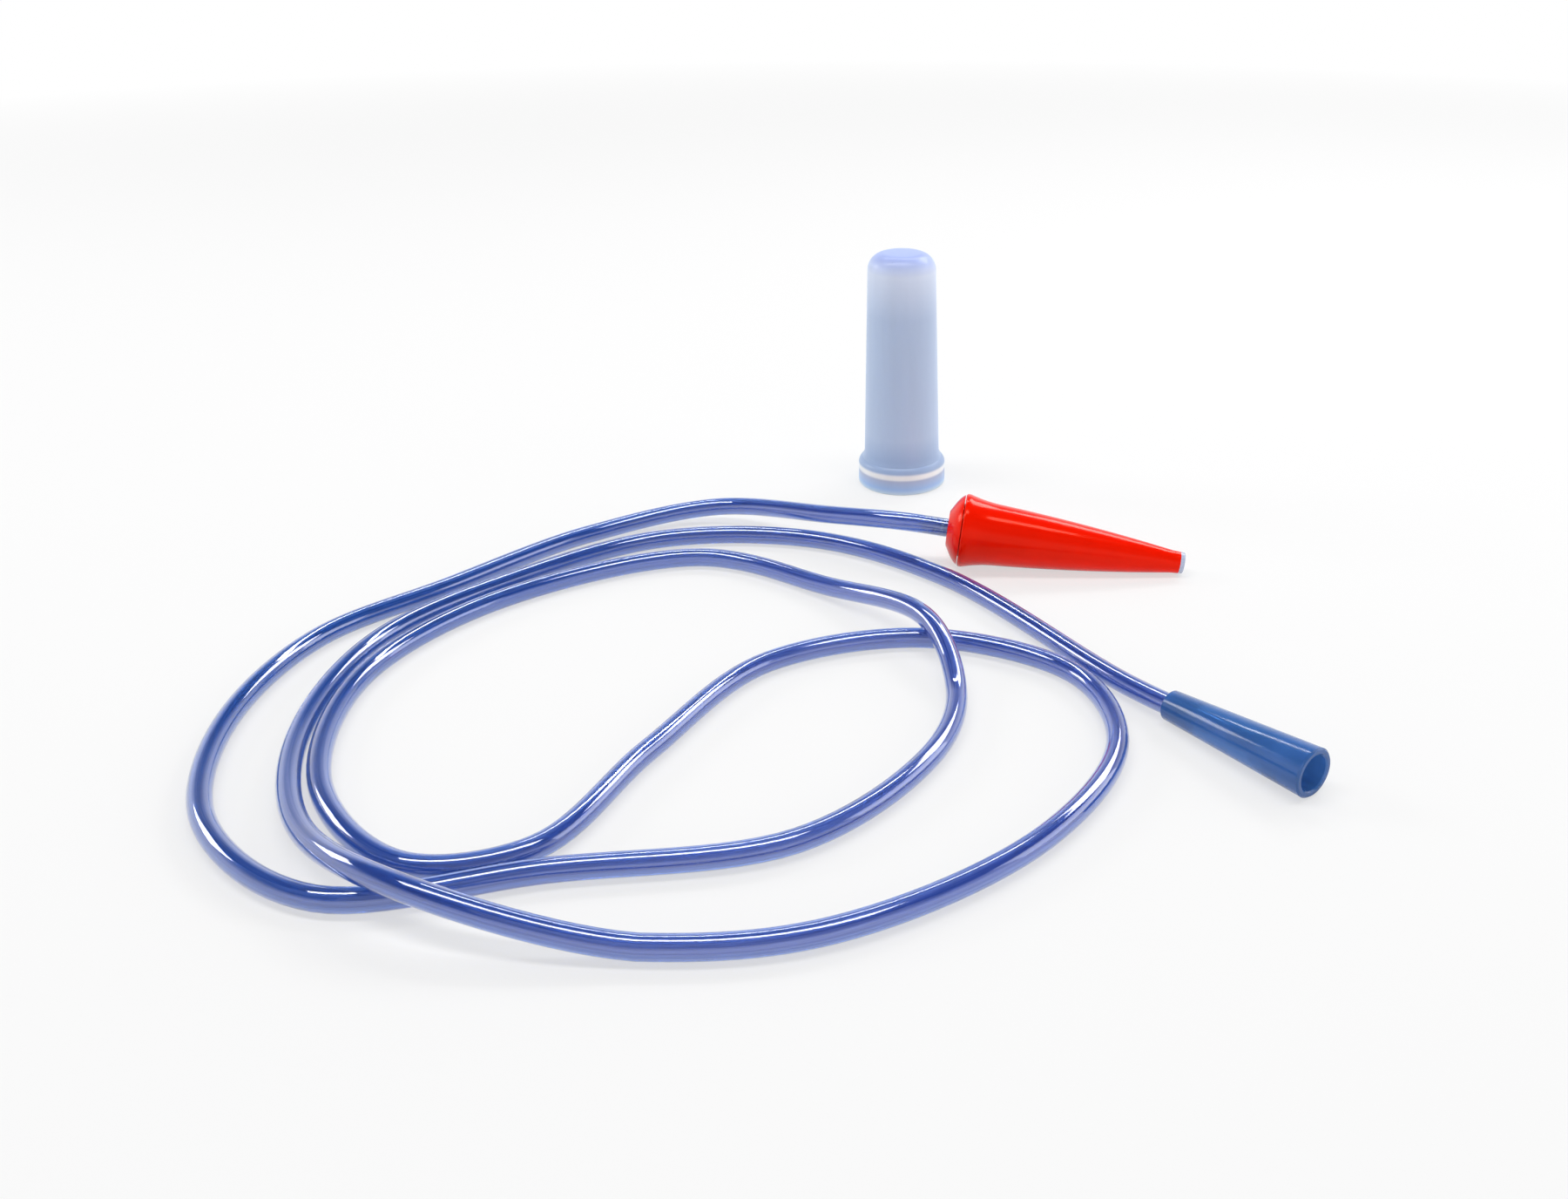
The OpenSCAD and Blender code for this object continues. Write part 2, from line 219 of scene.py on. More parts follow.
def turned(profile, place, steps=128, closed=True, round_edges=0.0):
    """A bmesh of a profile of (radius, station) spun about its axis and put in place."""
    bm = bmesh.new()
    points = [bm.verts.new((r * MM, 0.0, s * MM)) for r, s in profile]
    lines = [bm.edges.new(pair) for pair in zip(points, points[1:])]
    if closed:
        lines.append(bm.edges.new((points[-1], points[0])))
    bmesh.ops.spin(
        bm, geom=points + lines, cent=(0, 0, 0), axis=(0, 0, 1), angle=2 * math.pi,
        steps=steps, use_merge=True, use_duplicate=False,
    )
    bmesh.ops.remove_doubles(bm, verts=bm.verts, dist=1e-6)
    bmesh.ops.dissolve_degenerate(bm, edges=bm.edges, dist=1e-7)
    bmesh.ops.recalc_face_normals(bm, faces=bm.faces)
    if round_edges:
        hard = [e for e in bm.edges if e.is_manifold and e.calc_face_angle(0) > math.radians(50)]
        bmesh.ops.bevel(
            bm, geom=hard, offset=round_edges * MM, offset_type="OFFSET", affect="EDGES",
            segments=3, profile=0.5, material=-1, clamp_overlap=True,
        )
    bmesh.ops.transform(bm, matrix=place, verts=bm.verts)
    return bm


# ---- materials ----

BLUE_SHINE = (0.62, 0.70, 1.0, 1.0)
BLUE_SHEEN = (0.62, 0.78, 1.0, 1.0)
ORANGE_SHINE = (1.0, 0.30, 0.14, 1.0)


class Finish:
    """A new node material with one Principled shader."""

    def __init__(self, name, **shader):
        self.material = bpy.data.materials.new(name)
        self.material.use_nodes = True
        self.tree = self.material.node_tree
        self.tree.nodes.clear()
        self.output = self.tree.nodes.new("ShaderNodeOutputMaterial")
        self.shader = self.node("ShaderNodeBsdfPrincipled", **shader)
        self.join(self.shader, "BSDF", self.output, "Surface")

    def node(self, kind, settings=None, **inputs):
        new = self.tree.nodes.new(kind)
        for key, value in (settings or {}).items():
            setattr(new, key, value)
        for key, value in inputs.items():
            new.inputs[key.replace("_", " ")].default_value = value
        return new

    def join(self, a, out, b, into):
        self.tree.links.new(a.outputs[out], b.inputs[into])

    def ramp(self, source, out, stops):
        ramp = self.node("ShaderNodeValToRGB")
        self.join(source, out, ramp, "Fac")
        elements = ramp.color_ramp.elements
        while len(elements) < len(stops):
            elements.new(0.5)
        for element, (at, colour) in zip(elements, stops):
            element.position = at
            element.color = colour
        return ramp


def grey(value):
    """A grey as a colour with alpha."""
    return (value, value, value, 1.0)


def tinted(colour, factor=1.0):
    """A colour made darker or lighter, with alpha."""
    return tuple(min(1.0, c * factor) for c in colour[:3]) + (1.0,)


def fine_bump(finish, place, strength):
    """Fine uneven skin of moulded plastic."""
    skin = finish.node("ShaderNodeTexNoise", Scale=900.0, Detail=2.0, Roughness=0.6)
    finish.join(place, "Object", skin, "Vector")
    bump = finish.node("ShaderNodeBump", Strength=strength, Distance=0.0001)
    finish.join(skin, "Fac", bump, "Height")
    finish.join(bump, "Normal", finish.shader, "Normal")


def moulded(name, colour, roughness, grain, dark=0.86, light=1.08, **shader):
    """Moulded plastic: slight colour variation, uneven gloss and a fine bump."""
    finish = Finish(name, **shader)
    place = finish.node("ShaderNodeTexCoord")
    cloud = finish.node("ShaderNodeTexNoise", Scale=110.0, Detail=3.0, Roughness=0.55)
    finish.join(place, "Object", cloud, "Vector")
    stops = [(0.3, tinted(colour, dark)), (0.7, tinted(colour, light))]
    colours = finish.ramp(cloud, "Fac", stops)
    finish.join(colours, "Color", finish.shader, "Base Color")
    stops = [(0.25, grey(roughness * 0.8)), (0.8, grey(roughness * 1.3))]
    gloss = finish.ramp(cloud, "Fac", stops)
    finish.join(gloss, "Color", finish.shader, "Roughness")
    fine_bump(finish, place, grain)
    return finish.material


# ---- settings ----


class TubeSettings(bpy.types.PropertyGroup):
    """Sizes and colours of the tube and its connector"""

    diameter: FloatProperty(
        name="Tube diameter", description="Outer diameter of the tube", default=0.005,
        unit="LENGTH",
    )
    bore: FloatProperty(
        name="Tube bore", description="Inner diameter of the tube", default=0.003, unit="LENGTH",
    )
    skin_colour: FloatVectorProperty(
        name="Skin", description="Tint of the tube's clear outside",
        default=(0.16, 0.32, 0.88), subtype="COLOR",
    )
    colour: FloatVectorProperty(
        name="Bore", description="Deep blue of the bore's wall",
        default=(0.10, 0.36, 0.66), subtype="COLOR",
    )
    pale_colour: FloatVectorProperty(
        name="Bore streaks", description="Paler streaks of the bore's wall",
        default=(0.38, 0.60, 0.85), subtype="COLOR",
    )
    far_colour: FloatVectorProperty(
        name="Bore at the right", description="Deep blue at the right of the turns",
        default=(0.30, 0.36, 0.70), subtype="COLOR",
    )
    far_pale_colour: FloatVectorProperty(
        name="Streaks at the right", description="Paler streaks at the right of the turns",
        default=(0.90, 0.80, 1.00), subtype="COLOR",
    )
    clearness: FloatProperty(
        name="Bore clearness", description="Share of light that passes the bore's wall",
        default=0.35, subtype="FACTOR",
    )
    connector_colour: FloatVectorProperty(
        name="Connector colour", description="Tint of the connector",
        default=(0.07, 0.22, 0.60), subtype="COLOR",
    )


class TipSettings(bpy.types.PropertyGroup):
    """Colours of the tip"""

    colour: FloatVectorProperty(
        name="Tip colour", description="Colour of the shell and hub",
        default=(0.98, 0.009, 0.0), subtype="COLOR",
    )
    lip_colour: FloatVectorProperty(
        name="Lip colour", description="Tint of the soft lip",
        default=(0.66, 0.74, 0.98), subtype="COLOR",
    )


class CapSettings(bpy.types.PropertyGroup):
    """Sizes and colour of the cap"""

    collar_height: FloatProperty(
        name="Collar height", description="Height of the collar with its shoulder",
        default=0.0086, unit="LENGTH",
    )
    colour: FloatVectorProperty(
        name="Cap colour", description="Colour of the milky plastic",
        default=(0.95, 0.95, 0.95), subtype="COLOR",
    )


class StageSettings(bpy.types.PropertyGroup):
    """Floor and lamps"""

    floor_size: FloatProperty(
        name="Floor size", description="Width of the floor", default=12.0, unit="LENGTH",
    )
    key_power: FloatProperty(
        name="Lamp power", description="Power in watts that each lamp takes its share of",
        default=4.8,
    )


# ---- operators ----


# Lamps: place, way of the long side, size, share of the power
LAMPS = {
    "right_window": ((0.48, 0.62, 0.70), (0.8, -0.6, 0.0), (0.60, 0.28), 0.75),
    "left_window": ((-1.00, 0.15, 0.50), (0.3, 1.0, 0.0), (0.36, 0.24), 0.4),
    "top_panel": ((-0.12, -0.16, 1.05), (1.0, 0.0, 0.0), (1.20, 0.22), 1.4),
    "front_fill": ((0.35, -1.20, 0.90), (1.0, 0.0, 0.0), (2.00, 1.20), 0.3),
    "right_fill": ((0.95, 0.10, 0.40), (0.0, 1.0, 0.0), (0.80, 0.50), 0.35),
    "back_strip": ((-0.10, 0.60, 0.80), (1.0, 0.0, 0.0), (0.60, 0.06), 0.34),
}
LAMPS_AIM = Vector((-0.03, -0.12, 0.0))
CAMERA_AT = (0.04277, -0.40193, 0.164)
CAMERA_TURN = (math.radians(63.0), 0.0, math.radians(6.08))
WALL_FOOT = 0.26
WALL_TOP = 0.58
WALL_TOP_GREY = 0.07


class SUCTION_OT_stage(bpy.types.Operator):
    """Make the camera, the floor, the lamps and the studio's walls"""

    bl_idname = "suction.stage"
    bl_label = "Stage"

    def execute(self, context):
        settings = context.scene.suction_stage
        set_camera(context.scene)
        set_floor(context.scene, settings.floor_size)
        for name, (at, side, size, share) in LAMPS.items():
            data = bpy.data.lights.new(name, "AREA")
            data.shape = "RECTANGLE"
            data.size, data.size_y = size
            data.energy = settings.key_power * share
            lamp = bpy.data.objects.new(name, data)
            lamp.location = at
            lamp.rotation_euler = facing(LAMPS_AIM - Vector(at), Vector(side))
            context.scene.collection.objects.link(lamp)
        set_walls(context.scene)
        return {"FINISHED"}


def set_camera(scene):
    """The camera: 27 degrees down, from the front, and turned a little to the left."""
    lens = bpy.data.cameras.new("camera")
    lens.lens = 32.0
    lens.sensor_width = 36.0
    lens.shift_x = -0.075
    lens.clip_start = 0.005
    lens.clip_end = 50.0
    camera = bpy.data.objects.new("camera", lens)
    camera.location = CAMERA_AT
    camera.rotation_euler = CAMERA_TURN
    scene.collection.objects.link(camera)
    scene.camera = camera


def set_floor(scene, width):
    """A plain floor just under the table plane."""
    bm = bmesh.new()
    bmesh.ops.create_grid(bm, x_segments=1, y_segments=1, size=width / 2)
    bmesh.ops.translate(bm, verts=bm.verts, vec=(0.0, 0.0, -0.0001))
    mesh = bpy.data.meshes.new("floor")
    bm.to_mesh(mesh)
    bm.free()
    mesh.materials.append(floor_finish())
    floor = bpy.data.objects.new("floor", mesh)
    scene.collection.objects.link(floor)


def set_walls(scene):
    """White low down all round, dim overhead, so that gloss shows soft edges."""
    world = bpy.data.worlds.new("studio")
    scene.world = world
    world.use_nodes = True
    tree = world.node_tree
    tree.nodes.clear()
    where = tree.nodes.new("ShaderNodeTexCoord")
    parts = tree.nodes.new("ShaderNodeSeparateXYZ")
    tree.links.new(where.outputs["Generated"], parts.inputs["Vector"])
    walls = tree.nodes.new("ShaderNodeValToRGB")
    foot, top = walls.color_ramp.elements
    foot.position, foot.color = WALL_FOOT, grey(1.0)
    top.position, top.color = WALL_TOP, grey(WALL_TOP_GREY)
    tree.links.new(parts.outputs["Z"], walls.inputs["Fac"])
    light = tree.nodes.new("ShaderNodeBackground")
    light.inputs["Strength"].default_value = 1.0
    tree.links.new(walls.outputs["Color"], light.inputs["Color"])
    out = tree.nodes.new("ShaderNodeOutputWorld")
    tree.links.new(light.outputs["Background"], out.inputs["Surface"])


def facing(way, side):
    """Rotation of a lamp that shines along `way` with its long side along `side`."""
    back = -way.normalized()
    side = (side - side.dot(back) * back).normalized()
    return Matrix((side, back.cross(side), back)).transposed().to_euler()


def floor_finish():
    """Floor with soft shadows that shows white, also in gloss and through clear plastic."""
    material = bpy.data.materials.new("floor_white")
    material.use_nodes = True
    tree = material.node_tree
    tree.nodes.clear()
    paper = tree.nodes.new("ShaderNodeBsdfDiffuse")
    paper.inputs["Color"].default_value = grey(0.82)
    glow = tree.nodes.new("ShaderNodeEmission")
    glow.inputs["Color"].default_value = grey(1.0)
    glow.inputs["Strength"].default_value = 1.0
    path = tree.nodes.new("ShaderNodeLightPath")
    place = tree.nodes.new("ShaderNodeTexCoord")
    away = tree.nodes.new("ShaderNodeVectorMath")
    away.operation = "LENGTH"
    tree.links.new(place.outputs["Object"], away.inputs[0])
    fade = tree.nodes.new("ShaderNodeMapRange")
    for name, value in (("From Min", 0.25), ("From Max", 1.2), ("To Min", 0.6), ("To Max", 1.0)):
        fade.inputs[name].default_value = value
    tree.links.new(away.outputs["Value"], fade.inputs["Value"])

    def joined(operation, one, other):
        both = tree.nodes.new("ShaderNodeMath")
        both.operation = operation
        tree.links.new(one, both.inputs[0])
        tree.links.new(other, both.inputs[1])
        return both.outputs[0]

    seen = joined("MAXIMUM", path.outputs["Is Camera Ray"], path.outputs["Is Glossy Ray"])
    seen = joined("MAXIMUM", seen, path.outputs["Is Transmission Ray"])
    share = joined("MULTIPLY", seen, fade.outputs["Result"])
    mix = tree.nodes.new("ShaderNodeMixShader")
    tree.links.new(share, mix.inputs[0])
    tree.links.new(paper.outputs[0], mix.inputs[1])
    tree.links.new(glow.outputs[0], mix.inputs[2])
    out = tree.nodes.new("ShaderNodeOutputMaterial")
    tree.links.new(mix.outputs[0], out.inputs["Surface"])
    return material


def tube_line():
    """The tube's centre line in metres: a smooth curve that never sinks into the table."""
    route = [TIP_AT + TUBE_START * TIP_WAY, TIP_AT - TUBE_LEAD * TIP_WAY]
    route += [Vector(p) for p in TUBE_LAY]
    route += [CONN_AT - CONN_LEAD * CONN_WAY, CONN_AT + CONN_SOCKET_L * CONN_WAY]
    knots = [2 * route[0] - route[1]] + route + [2 * route[-1] - route[-2]]
    line = []
    for a, b, c, d in zip(knots, knots[1:], knots[2:], knots[3:]):
        u, v, w = (math.sqrt((q - p).length) for p, q in ((a, b), (b, c), (c, d)))
        leave = (c - b) - (c - a) * v / (u + v) + (b - a) * v / u
        enter = (c - b) - (d - b) * v / (v + w) + (d - c) * v / w
        for k in range(TUBE_STEPS):
            t = k / TUBE_STEPS
            h = t * t * (3 - 2 * t)
            line.append(b * (1 - h) + c * h + leave * t * (1 - t) ** 2 - enter * t * t * (1 - t))
    line.append(route[-1])
    for p in line:
        p.z = max(p.z, TUBE_R)
    return [p * MM for p in line]


class SUCTION_OT_tube(bpy.types.Operator):
    """Make the hollow clear tube along its route"""

    bl_idname = "suction.tube"
    bl_label = "Tube"

    def execute(self, context):
        settings = context.scene.suction_tube
        line = tube_line()
        curve = bpy.data.curves.new("tube_route", "CURVE")
        curve.dimensions = "3D"
        curve.bevel_depth = settings.diameter / 2
        curve.bevel_resolution = 7
        spline = curve.splines.new("POLY")
        spline.points.add(len(line) - 1)
        for point, at in zip(spline.points, line):
            point.co = (*at, 1.0)
        guide = bpy.data.objects.new("tube_route", curve)
        context.scene.collection.objects.link(guide)
        context.view_layer.update()
        depsgraph = context.evaluated_depsgraph_get()
        mesh = bpy.data.meshes.new_from_object(guide.evaluated_get(depsgraph))
        bpy.data.objects.remove(guide)
        bpy.data.curves.remove(curve)
        mesh.name = "suction_tube"
        mesh.shade_smooth()
        mesh.materials.clear()
        mesh.materials.append(tube_skin(settings))
        mesh.materials.append(tube_bore(settings))
        tube = bpy.data.objects.new("suction_tube", mesh)
        context.scene.collection.objects.link(tube)
        wall = tube.modifiers.new("wall", "SOLIDIFY")
        wall.thickness = (settings.diameter - settings.bore) / 2
        wall.offset = -1.0
        wall.use_even_offset = True
        wall.use_rim = True
        wall.material_offset = 1
        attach(tube, "line")
        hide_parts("tube")
        return {"FINISHED"}


def drawn_streaks(finish, around=1.6, along=14.0, detail=4.0):
    """Noise in lines along the tube, placed by the angle round it and the way along it."""
    place = finish.node("ShaderNodeTexCoord")
    parts = finish.node("ShaderNodeSeparateXYZ")
    finish.join(place, "UV", parts, "Vector")
    turn = finish.node("ShaderNodeMath", {"operation": "MULTIPLY"})
    turn.inputs[1].default_value = 2 * math.pi
    finish.join(parts, "Y", turn, 0)
    ring = finish.node("ShaderNodeCombineXYZ")
    for axis, operation in (("X", "COSINE"), ("Y", "SINE")):
        wave = finish.node("ShaderNodeMath", {"operation": operation})
        finish.join(turn, "Value", wave, 0)
        finish.join(wave, "Value", ring, axis)
    finish.join(parts, "X", ring, "Z")
    stretch = finish.node("ShaderNodeMapping", Scale=(around, around, along))
    finish.join(ring, "Vector", stretch, "Vector")
    lines = finish.node("ShaderNodeTexNoise", Scale=1.0, Detail=detail, Roughness=0.6)
    finish.join(stretch, "Vector", lines, "Vector")
    return lines


def drift(finish, near, far):
    """Colour that goes softly from one tint at the turns' left to another at their right."""
    place = finish.node("ShaderNodeTexCoord")
    parts = finish.node("ShaderNodeSeparateXYZ")
    finish.join(place, "Object", parts, "Vector")
    share = finish.node("ShaderNodeMapRange", From_Min=-0.125, From_Max=-0.02)
    finish.join(parts, "X", share, "Value")
    mix = finish.node("ShaderNodeMix", {"data_type": "RGBA"})
    finish.join(share, "Result", mix, "Factor")
    mix.inputs["A"].default_value = near
    mix.inputs["B"].default_value = far
    return mix


def tube_skin(settings):
    """Clear outside of the tube: a pale blue tint, a soft gloss, rubbed hazy in places."""
    finish = Finish(
        "clear_tube_skin", Transmission_Weight=1.0, IOR=1.45, Specular_IOR_Level=1.0,
        Coat_Weight=1.0, Coat_IOR=2.1, Coat_Roughness=0.06,
    )
    finish.shader.inputs["Base Color"].default_value = tinted(settings.skin_colour)
    finish.shader.inputs["Specular Tint"].default_value = BLUE_SHINE
    place = finish.node("ShaderNodeTexCoord")
    haze = finish.node("ShaderNodeTexNoise", Scale=60.0, Detail=3.0, Roughness=0.6)
    finish.join(place, "Object", haze, "Vector")
    gloss = finish.ramp(haze, "Fac", [(0.35, grey(0.02)), (0.75, grey(0.06))])
    finish.join(gloss, "Color", finish.shader, "Roughness")
    bump = finish.node("ShaderNodeBump", Strength=0.6, Distance=0.00012)
    finish.join(drawn_streaks(finish, 2.0, 6.0, 1.5), "Fac", bump, "Height")
    finish.join(bump, "Normal", finish.shader, "Normal")
    return finish.material


def tube_bore(settings):
    """Wall of the bore: deep blue with drawing lines, half see-through."""
    finish = Finish(
        "blue_tube_bore", Transmission_Weight=settings.clearness, IOR=1.45, Roughness=0.15,
        Specular_IOR_Level=1.0,
    )
    finish.shader.inputs["Specular Tint"].default_value = BLUE_SHINE
    deep = drift(finish, tinted(settings.colour), tinted(settings.far_colour))
    pale = drift(finish, tinted(settings.pale_colour), tinted(settings.far_pale_colour))
    streak = finish.ramp(drawn_streaks(finish), "Fac", [(0.42, grey(0.0)), (0.58, grey(1.0))])
    mix = finish.node("ShaderNodeMix", {"data_type": "RGBA"})
    finish.join(streak, "Color", mix, "Factor")
    finish.join(deep, "Result", mix, "A")
    finish.join(pale, "Result", mix, "B")
    finish.join(mix, "Result", finish.shader, "Base Color")
    return finish.material


class SUCTION_OT_connector(bpy.types.Operator):
    """Make the flared connector on the tube's end"""

    bl_idname = "suction.connector"
    bl_label = "Connector"

    def execute(self, context):
        settings = context.scene.suction_tube
        bore_start = CONN_L - CONN_LEAD_IN
        bore_end = bore_start - CONN_BORE_L
        bm = turned([
            (TUBE_WAY_R, 0), (CONN_NECK_R, 0),
            (CONN_MOUTH_R, CONN_L - CONN_EDGE), (CONN_MOUTH_R - CONN_EDGE, CONN_L),
            (CONN_BORE_R + CONN_LEAD_IN, CONN_L), (CONN_BORE_R, bore_start),
            (CONN_BORE_R, bore_end),
            (CONN_WAY_R, bore_end - CONN_FUNNEL_L), (CONN_WAY_R, CONN_SOCKET_L),
            (TUBE_WAY_R, CONN_SOCKET_L),
        ], CONN_PLACE, round_edges=CONN_ROUND)
        finish = moulded(
            "blue_connector", settings.connector_colour, 0.12, 0.1,
            Transmission_Weight=0.5, IOR=1.45,
        )
        finished("end_connector_shell", bm, finish, "line", ["end_connector"])
        return {"FINISHED"}


class SUCTION_OT_tip(bpy.types.Operator):
    """Make the red shell, its soft lip and the domed hub"""

    bl_idname = "suction.tip"
    bl_label = "Tip"

    def execute(self, context):
        settings = context.scene.suction_tip
        red = moulded(
            "glossy_red", settings.colour, 0.15, 0.12, dark=0.92, light=1.0,
            Specular_IOR_Level=0.32, Coat_Weight=0.08, Coat_Roughness=0.03,
        )
        principled = red.node_tree.nodes["Principled BSDF"]
        principled.inputs["Specular Tint"].default_value = ORANGE_SHINE
        ahead = [SHELL_END * i / SHELL_STEPS for i in range(SHELL_STEPS + 1)]
        profile = [(SOCKET_R, -BEAD_L)]
        profile += arc((RIM_R - RIM_ROUND, -BEAD_L + RIM_ROUND), RIM_ROUND, -90, 0)
        profile += [(shell_radius(s), s) for s in ahead]
        profile += [(hollow_radius(s), s) for s in reversed(ahead) if s > LEDGE_AT]
        profile += [(hollow_radius(LEDGE_AT), LEDGE_AT), (SOCKET_R, LEDGE_AT)]
        shell = turned(profile, TIP_PLACE, 160)
        finished("red_shell", shell, red, "tip", ["tip_shell"])

        sleeve_r, sleeve_end = LIP_SLEEVE_R - FIT, SHELL_END - LIP_SLEEVE_L
        inner_r = MOUTH_BORE_R + LIP_BORE_ROUND
        lip = [
            (MOUTH_BORE_R, sleeve_end), (sleeve_r, sleeve_end), (sleeve_r, SHELL_END),
            (shell_radius(SHELL_END), SHELL_END),
        ]
        lip += arc((MOUTH_R - LIP_ROUND, TIP_L - LIP_ROUND), LIP_ROUND, 0, 90)
        lip += arc((inner_r, TIP_L - LIP_BORE_ROUND), LIP_BORE_ROUND, 90, 180, 4)
        clear = moulded(
            "clear_lip", settings.lip_colour, 0.2, 0.05, Transmission_Weight=0.35, IOR=1.45,
        )
        finished("soft_lip", turned(lip, TIP_PLACE, 96), clear, "tip", ["mouth_lip"])

        front = RIM_R - BEAD_IN
        dome = [(TUBE_WAY_R, HUB_BACK)]
        for i in range(DOME_STEPS + 1):
            u = 1 - i / DOME_STEPS
            out = DOME_SWELL * 4 * u * (1 - u)
            back = HUB_FRONT - (HUB_FRONT - HUB_BACK) * u
            dome.append((front + (HUB_END_R - front) * u + out, back - out * (1 - u)))
        groove = (SEAL_CORD + 0.1) / 2
        groove_r = SOCKET_R - SEAL_CORD - 2 * FIT
        dome += [
            (SPIGOT_R, HUB_FRONT), (SPIGOT_R, SEAL_AT - groove), (groove_r, SEAL_AT - groove),
            (groove_r, SEAL_AT + groove), (SPIGOT_R, SEAL_AT + groove), (SPIGOT_R, SPIGOT_END),
            (CHAMBER_R, SPIGOT_END), (CHAMBER_R, CHAMBER_BACK), (TUBE_WAY_R, CHAMBER_BACK),
        ]
        finished("red_hub", turned(dome, TIP_PLACE, 160), red, "hub", ["tip_hub"])
        return {"FINISHED"}


class SUCTION_OT_insides(bpy.types.Operator):
    """Finish the strainer, seal, valve, retainer and barb inside the tip"""

    bl_idname = "suction.insides"
    bl_label = "Insides"

    def execute(self, context):
        white = moulded("insert_white", (0.80, 0.80, 0.78), 0.4, 0.2)
        soft = moulded("soft_disc", (0.70, 0.71, 0.74), 0.5, 0.2)
        black = moulded("black_rubber", (0.02, 0.02, 0.022), 0.45, 0.3)
        for name, finish in (
            ("tip_strainer", white), ("valve_seat", white), ("barb_retainer", white),
            ("hose_barb", white),
            ("valve_disc", soft), ("hub_seal", black),
        ):
            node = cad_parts[name]
            if not node.material_slots:
                node.data.materials.append(finish)
            for place in node.material_slots:
                place.material = finish
        return {"FINISHED"}


# Painted light and shade of the milky plastic by height, by how much of it the light has to pass:
# a painted glow at the lit foot, painted shade at the foot, in the collar, the thick wall, the
# sleeve and the end, and painted pale lines of light at the socket's shoulder and under the end
LIT_EDGE = (0.70, 0.85, 1.00)
BLUE_FOOT_SHADE = (0.40, 0.60, 0.95)
COLLAR_SHADE = (0.48, 0.54, 0.75)
SOCKET_LIGHT_LINE = (0.99, 0.99, 0.99)
THICK_WALL_SHADE = (0.37, 0.49, 0.73)
SLEEVE_SHADE = (0.50, 0.61, 0.82)
PALE_LIGHT_BAND = (0.74, 0.82, 1.00)
SOLID_END_SHADE = (0.38, 0.47, 0.90)


def mixed(one, other):
    """Shade half way between two."""
    return tuple((a + b) / 2 for a, b in zip(one, other))


def cap_shades(height, collar_h):
    """Painted light and shade by height: painted glow at the lit foot, collar shade, a painted
    line of light at the socket's shoulder, sleeve, a painted pale band of light, painted shade at
    the end.
    """
    return [
        (0.4, LIT_EDGE), (1.8, BLUE_FOOT_SHADE), (CAP_SOCKET_H - 1.0, COLLAR_SHADE),
        (CAP_SOCKET_H - 0.4, SOCKET_LIGHT_LINE), (CAP_SOCKET_H + 0.7, SOCKET_LIGHT_LINE),
        (CAP_SOCKET_H + 1.3, THICK_WALL_SHADE), (collar_h + COLLAR_SLOPE, THICK_WALL_SHADE),
        (collar_h + 8.0, SLEEVE_SHADE), (height * 0.75, SLEEVE_SHADE),
        (height - END_ROUND, PALE_LIGHT_BAND), (height - END_ROUND / 2, mixed(PALE_LIGHT_BAND, SOLID_END_SHADE)),
        (height, SOLID_END_SHADE),
    ]


def cap_finish(settings, height, shades):
    """Milky plastic with painted light and shade by height that follows the wall's thickness; its
    edges catch pale blue.
    """
    finish = Finish("milky_plastic_painted_shade", IOR=1.45, Sheen_Weight=0.5, Sheen_Roughness=0.4)
    finish.shader.inputs["Sheen Tint"].default_value = BLUE_SHEEN
    place = finish.node("ShaderNodeTexCoord")
    parts = finish.node("ShaderNodeSeparateXYZ")
    finish.join(place, "Object", parts, "Vector")
    share = finish.node("ShaderNodeMapRange", From_Min=0.0, From_Max=height * MM)
    finish.join(parts, "Z", share, "Value")
    stops = []
    for z, shade in shades:
        stops.append((z / height, tinted([c * s for c, s in zip(settings.colour, shade)])))
    # The ramp's colours are painted light and shade by height over the plastic's own colour
    walls = finish.ramp(share, "Result", stops)
    lines = finish.node("ShaderNodeMapping", Scale=(260.0, 260.0, 30.0))
    finish.join(place, "Object", lines, "Vector")
    cloud = finish.node("ShaderNodeTexNoise", Scale=1.0, Detail=3.0, Roughness=0.55)
    finish.join(lines, "Vector", cloud, "Vector")
    drawn = finish.ramp(cloud, "Fac", [(0.3, grey(0.96)), (0.7, grey(1.0))])
    mix = finish.node("ShaderNodeMix", {"data_type": "RGBA", "blend_type": "MULTIPLY"})
    mix.inputs["Factor"].default_value = 1.0
    finish.join(walls, "Color", mix, "A")
    finish.join(drawn, "Color", mix, "B")
    finish.join(mix, "Result", finish.shader, "Base Color")
    gloss = finish.ramp(cloud, "Fac", [(0.25, grey(0.26)), (0.8, grey(0.38))])
    finish.join(gloss, "Color", finish.shader, "Roughness")
    fine_bump(finish, place, 0.1)
    return finish.material


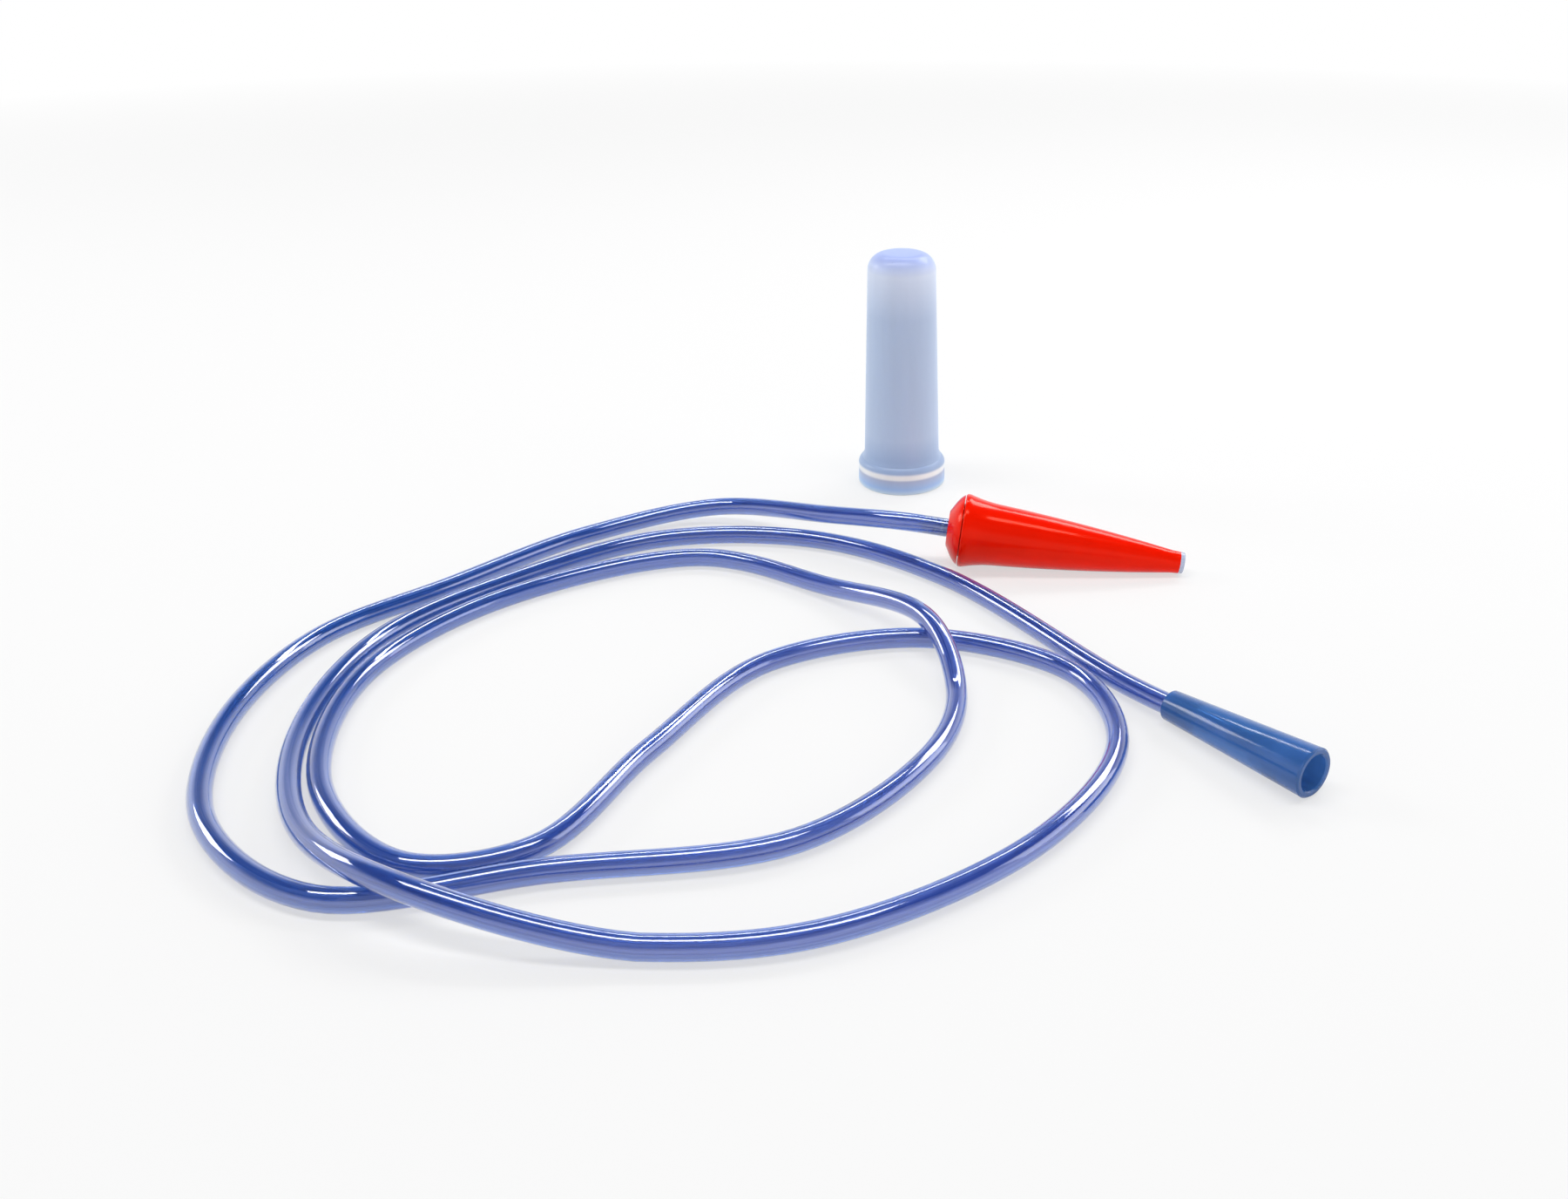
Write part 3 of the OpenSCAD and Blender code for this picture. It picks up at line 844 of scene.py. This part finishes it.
class SUCTION_OT_cap(bpy.types.Operator):
    """Make the milky protective cap"""

    bl_idname = "suction.cap"
    bl_label = "Cap"

    def execute(self, context):
        settings = context.scene.suction_cap
        low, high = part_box("cap")
        height = (high.z - low.z) / MM
        collar_r = (high.x - low.x) / MM / 2
        collar_h = settings.collar_height / MM
        hollow_top = height - END_WALL
        profile = [(CAP_SOCKET_R, 0)]
        profile += arc((collar_r - FOOT_ROUND, FOOT_ROUND), FOOT_ROUND, -90, 0)
        profile += arc((collar_r - COLLAR_ROUND, collar_h - COLLAR_ROUND), COLLAR_ROUND, 0, 60)
        profile += [(SLEEVE_R, collar_h + COLLAR_SLOPE)]
        profile += arc((END_R - END_ROUND, height - END_ROUND), END_ROUND, 0, 90, 14)
        profile += [(0, height), (0, hollow_top)]
        hollow_r = END_R - CAP_WALL - HOLLOW_ROUND
        profile += arc((hollow_r, hollow_top - HOLLOW_ROUND), HOLLOW_ROUND, 90, 0, 12)
        profile += [(HOLLOW_R, CAP_SOCKET_H), (CAP_SOCKET_R, CAP_SOCKET_H)]
        bm = turned(profile, Matrix.Identity(4), 160)
        milky = cap_finish(settings, height, cap_shades(height, collar_h))
        finished("milky_cap", bm, milky, "cap", ["cap"])
        return {"FINISHED"}


class SUCTION_PT_panel(bpy.types.Panel):
    """Lists the makers of the set"""

    bl_idname = "SUCTION_PT_panel"
    bl_label = "Suction tip"
    bl_space_type = "VIEW_3D"
    bl_region_type = "UI"
    bl_category = "Suction tip"

    def draw(self, context):
        layout = self.layout
        for name in SETTINGS:
            group = getattr(context.scene, name)
            for key in group.__annotations__:
                layout.prop(group, key)
        for maker in MAKERS:
            layout.operator(maker.bl_idname)


SETTINGS = {
    "suction_tube": TubeSettings, "suction_tip": TipSettings, "suction_cap": CapSettings,
    "suction_stage": StageSettings,
}
MAKERS = (
    SUCTION_OT_stage, SUCTION_OT_connector, SUCTION_OT_tube, SUCTION_OT_tip, SUCTION_OT_insides,
    SUCTION_OT_cap,
)


def register():
    for group in SETTINGS.values():
        bpy.utils.register_class(group)
    for name, group in SETTINGS.items():
        setattr(bpy.types.Scene, name, PointerProperty(type=group))
    for maker in MAKERS:
        bpy.utils.register_class(maker)
    bpy.utils.register_class(SUCTION_PT_panel)


def unregister():
    bpy.utils.unregister_class(SUCTION_PT_panel)
    for maker in reversed(MAKERS):
        bpy.utils.unregister_class(maker)
    for name in SETTINGS:
        delattr(bpy.types.Scene, name)
    for group in reversed(list(SETTINGS.values())):
        bpy.utils.unregister_class(group)


def main():
    register()
    bpy.context.scene.view_settings.view_transform = "Standard"
    bpy.ops.suction.stage()
    bpy.ops.suction.connector()
    bpy.ops.suction.tube()
    bpy.ops.suction.tip()
    bpy.ops.suction.insides()
    bpy.ops.suction.cap()
    bpy.context.view_layer.update()


if __name__ == "__main__":
    main()
